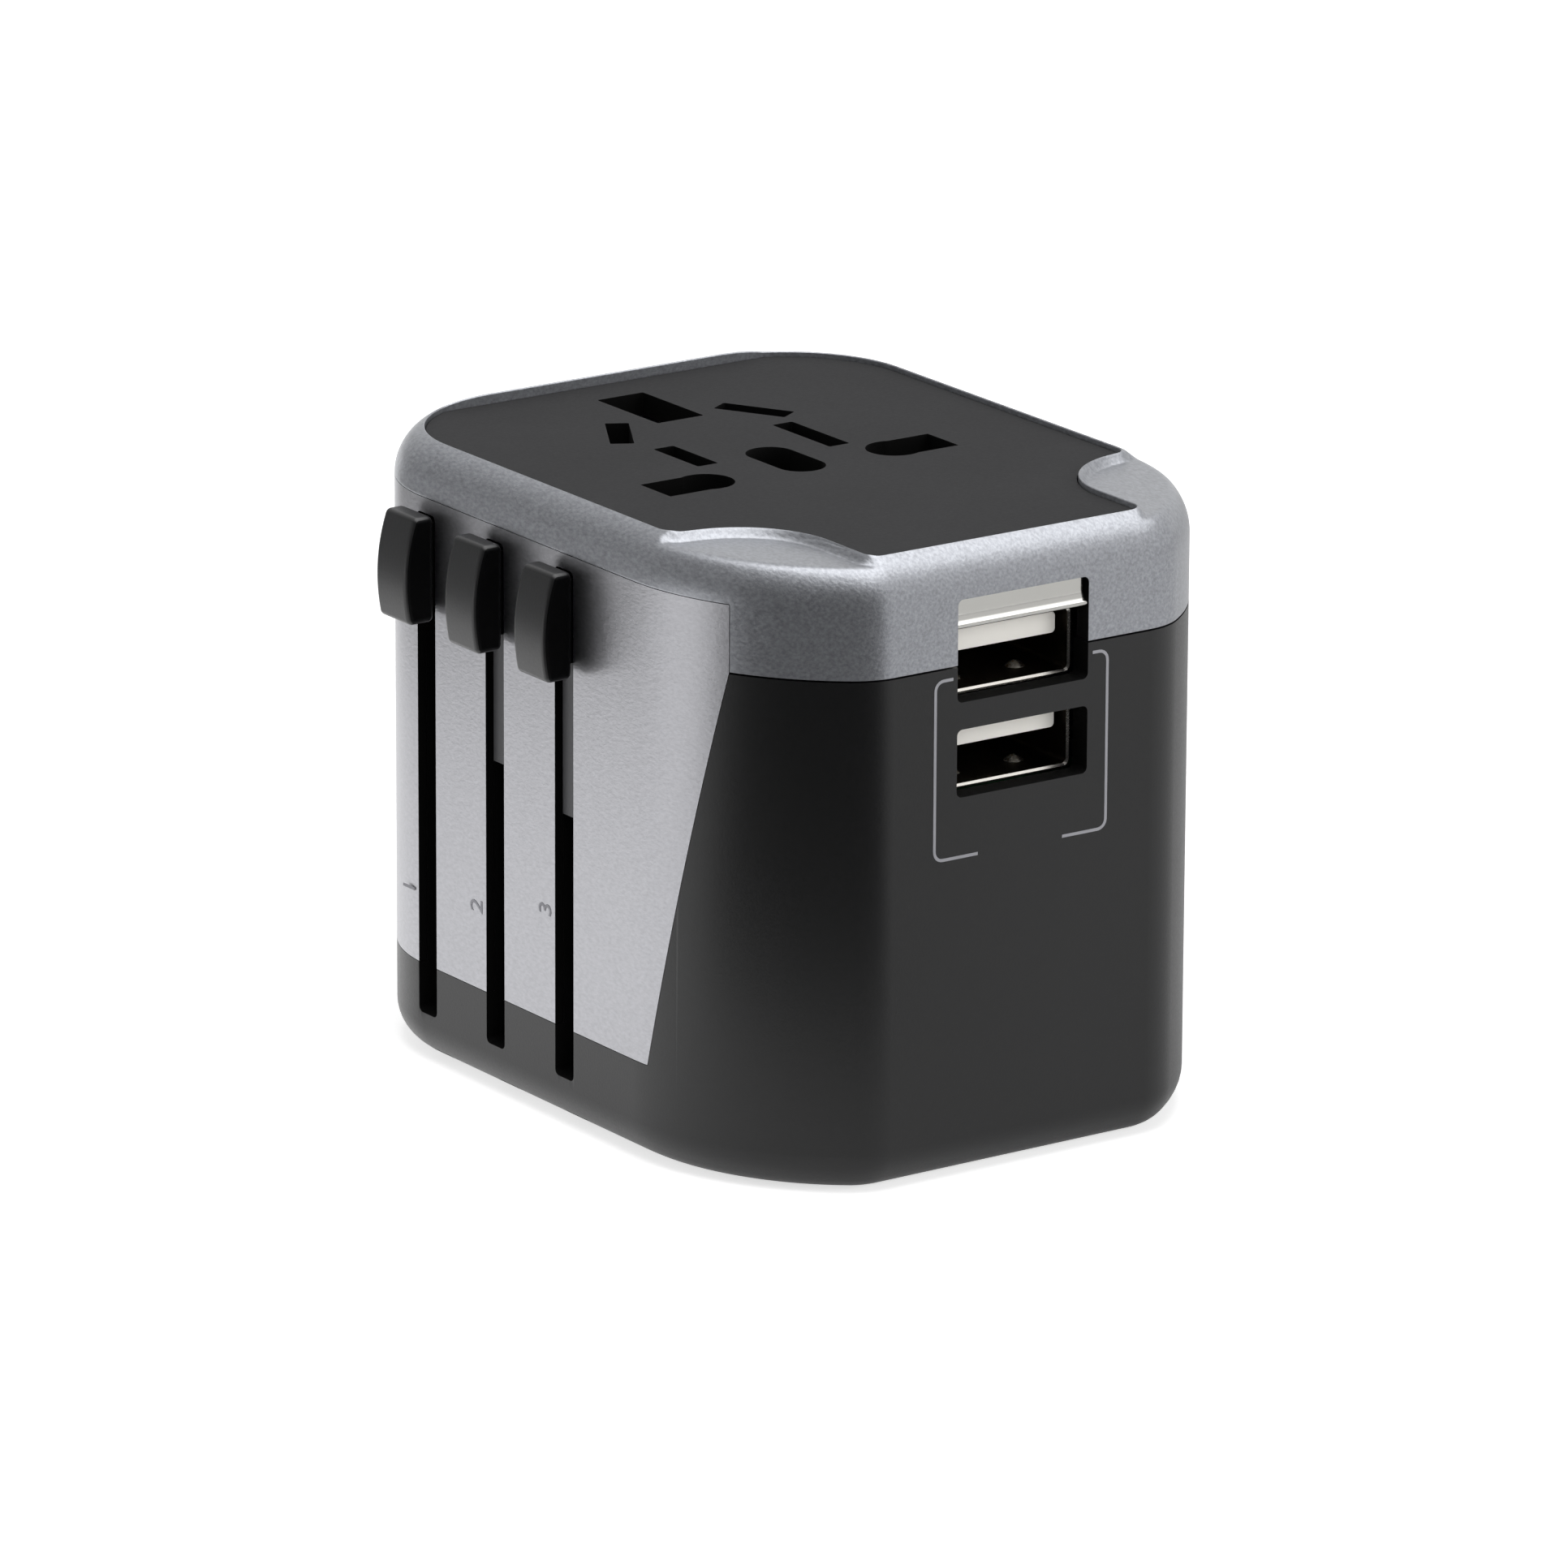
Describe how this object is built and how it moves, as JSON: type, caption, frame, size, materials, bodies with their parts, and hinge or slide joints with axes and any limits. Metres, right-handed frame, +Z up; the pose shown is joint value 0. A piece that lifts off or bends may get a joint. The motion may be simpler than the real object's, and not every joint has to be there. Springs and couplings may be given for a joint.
{
  "type": "universal travel adapter",
  "caption": "Pocket travel plug adapter: a rounded block with a multi-standard socket face on top, USB charging sockets in front and side sliders that push plug pins out of its floor",
  "frame": {"origin": "middle of the flat floor that the adapter stands on, half way between the slider side and the plain side and half way between the USB side and the back", "axes": "+Z up out of the socket face; -Y out of the USB side; -X out of the side with the sliders; the plug pins come out along -Z"},
  "size_m": [0.0545, 0.0644, 0.0541],
  "materials": {
    "body_black": "soft-touch matte black moulding",
    "cover_silver": "satin metallic silver-grey paint on plastic",
    "panel_silver": "satin light silver paint on plastic",
    "plate_grey": "fine matte dark grey moulding",
    "knob_grey": "matte dark grey moulding",
    "carriage_black": "plain matte moulding",
    "frame_ivory": "unpainted ivory moulding",
    "contact_brass": "bare stamped brass",
    "pin_nickel": "nickel plating, fine satin",
    "shell_nickel": "folded plated sheet, lightly brushed",
    "tongue_white": "white moulding",
    "board_green": "green board lacquer",
    "core_black": "sintered ferrite",
    "coil_yellow": "yellow tape",
    "capacitor_blue": "dark shrink sleeve on an aluminium can",
    "fuse_white": "glazed ceramic tube",
    "steel": "zinc-plated steel"
  },
  "bodies": {
    "housing": {"lower_housing": "body_black", "side_panel": "panel_silver", "top_cover": "cover_silver", "socket_plate": "plate_grey", "case_screws": "steel", "contact_frame": "frame_ivory", "live_contact": "contact_brass", "neutral_contact": "contact_brass", "earth_contact": "contact_brass", "live_rail": "contact_brass", "neutral_rail": "contact_brass", "fuse": "fuse_white", "fuse_clips": "contact_brass", "shutter_spring": "steel", "usb_shell": "shell_nickel", "usb_tongues": "tongue_white", "usb_contacts": "contact_brass", "circuit_board": "board_green", "transformer_core": "core_black", "transformer_coil": "coil_yellow", "capacitors": "capacitor_blue"},
    "shutter_plate": {"shutter": "carriage_black"},
    "eu_plug": {"eu_carriage": "carriage_black", "eu_knob": "knob_grey", "eu_pins": "pin_nickel", "eu_sleeves": "carriage_black"},
    "uk_plug": {"uk_carriage": "carriage_black", "uk_knob": "knob_grey", "uk_live_pin": "pin_nickel", "uk_neutral_pin": "pin_nickel", "uk_earth_pin": "pin_nickel", "uk_sleeves": "carriage_black"},
    "us_plug": {"us_carriage": "carriage_black", "us_knob": "knob_grey"},
    "left_prong": {"left_rotor": "carriage_black", "left_blade": "pin_nickel"},
    "right_prong": {"right_rotor": "carriage_black", "right_blade": "pin_nickel"}
  },
  "joints": [
    {"name": "eu_slide", "type": "slide", "parent": "housing", "child": "eu_plug", "axis": [0, 0, -1], "range_m": [0, 0.0205]},
    {"name": "uk_slide", "type": "slide", "parent": "housing", "child": "uk_plug", "axis": [0, 0, -1], "range_m": [0, 0.0243]},
    {"name": "us_slide", "type": "slide", "parent": "housing", "child": "us_plug", "axis": [0, 0, -1], "range_m": [0, 0.0223]},
    {"name": "left_twist", "type": "hinge", "parent": "us_plug", "child": "left_prong", "pos_m": [-0.00765, -0.0125, 0.0265], "axis": [0, 0, -1], "range_deg": [0, 30]},
    {"name": "right_twist", "type": "hinge", "parent": "us_plug", "child": "right_prong", "pos_m": [0.00505, -0.0125, 0.0265], "axis": [0, 0, 1], "range_deg": [0, 30]},
    {"name": "shutter_slide", "type": "slide", "parent": "housing", "child": "shutter_plate", "axis": [0, 1, 0], "range_m": [0, 0.0052], "stiffness_N_per_m": 60, "springref_m": -0.004, "deforming": ["shutter_spring"]}
  ]
}
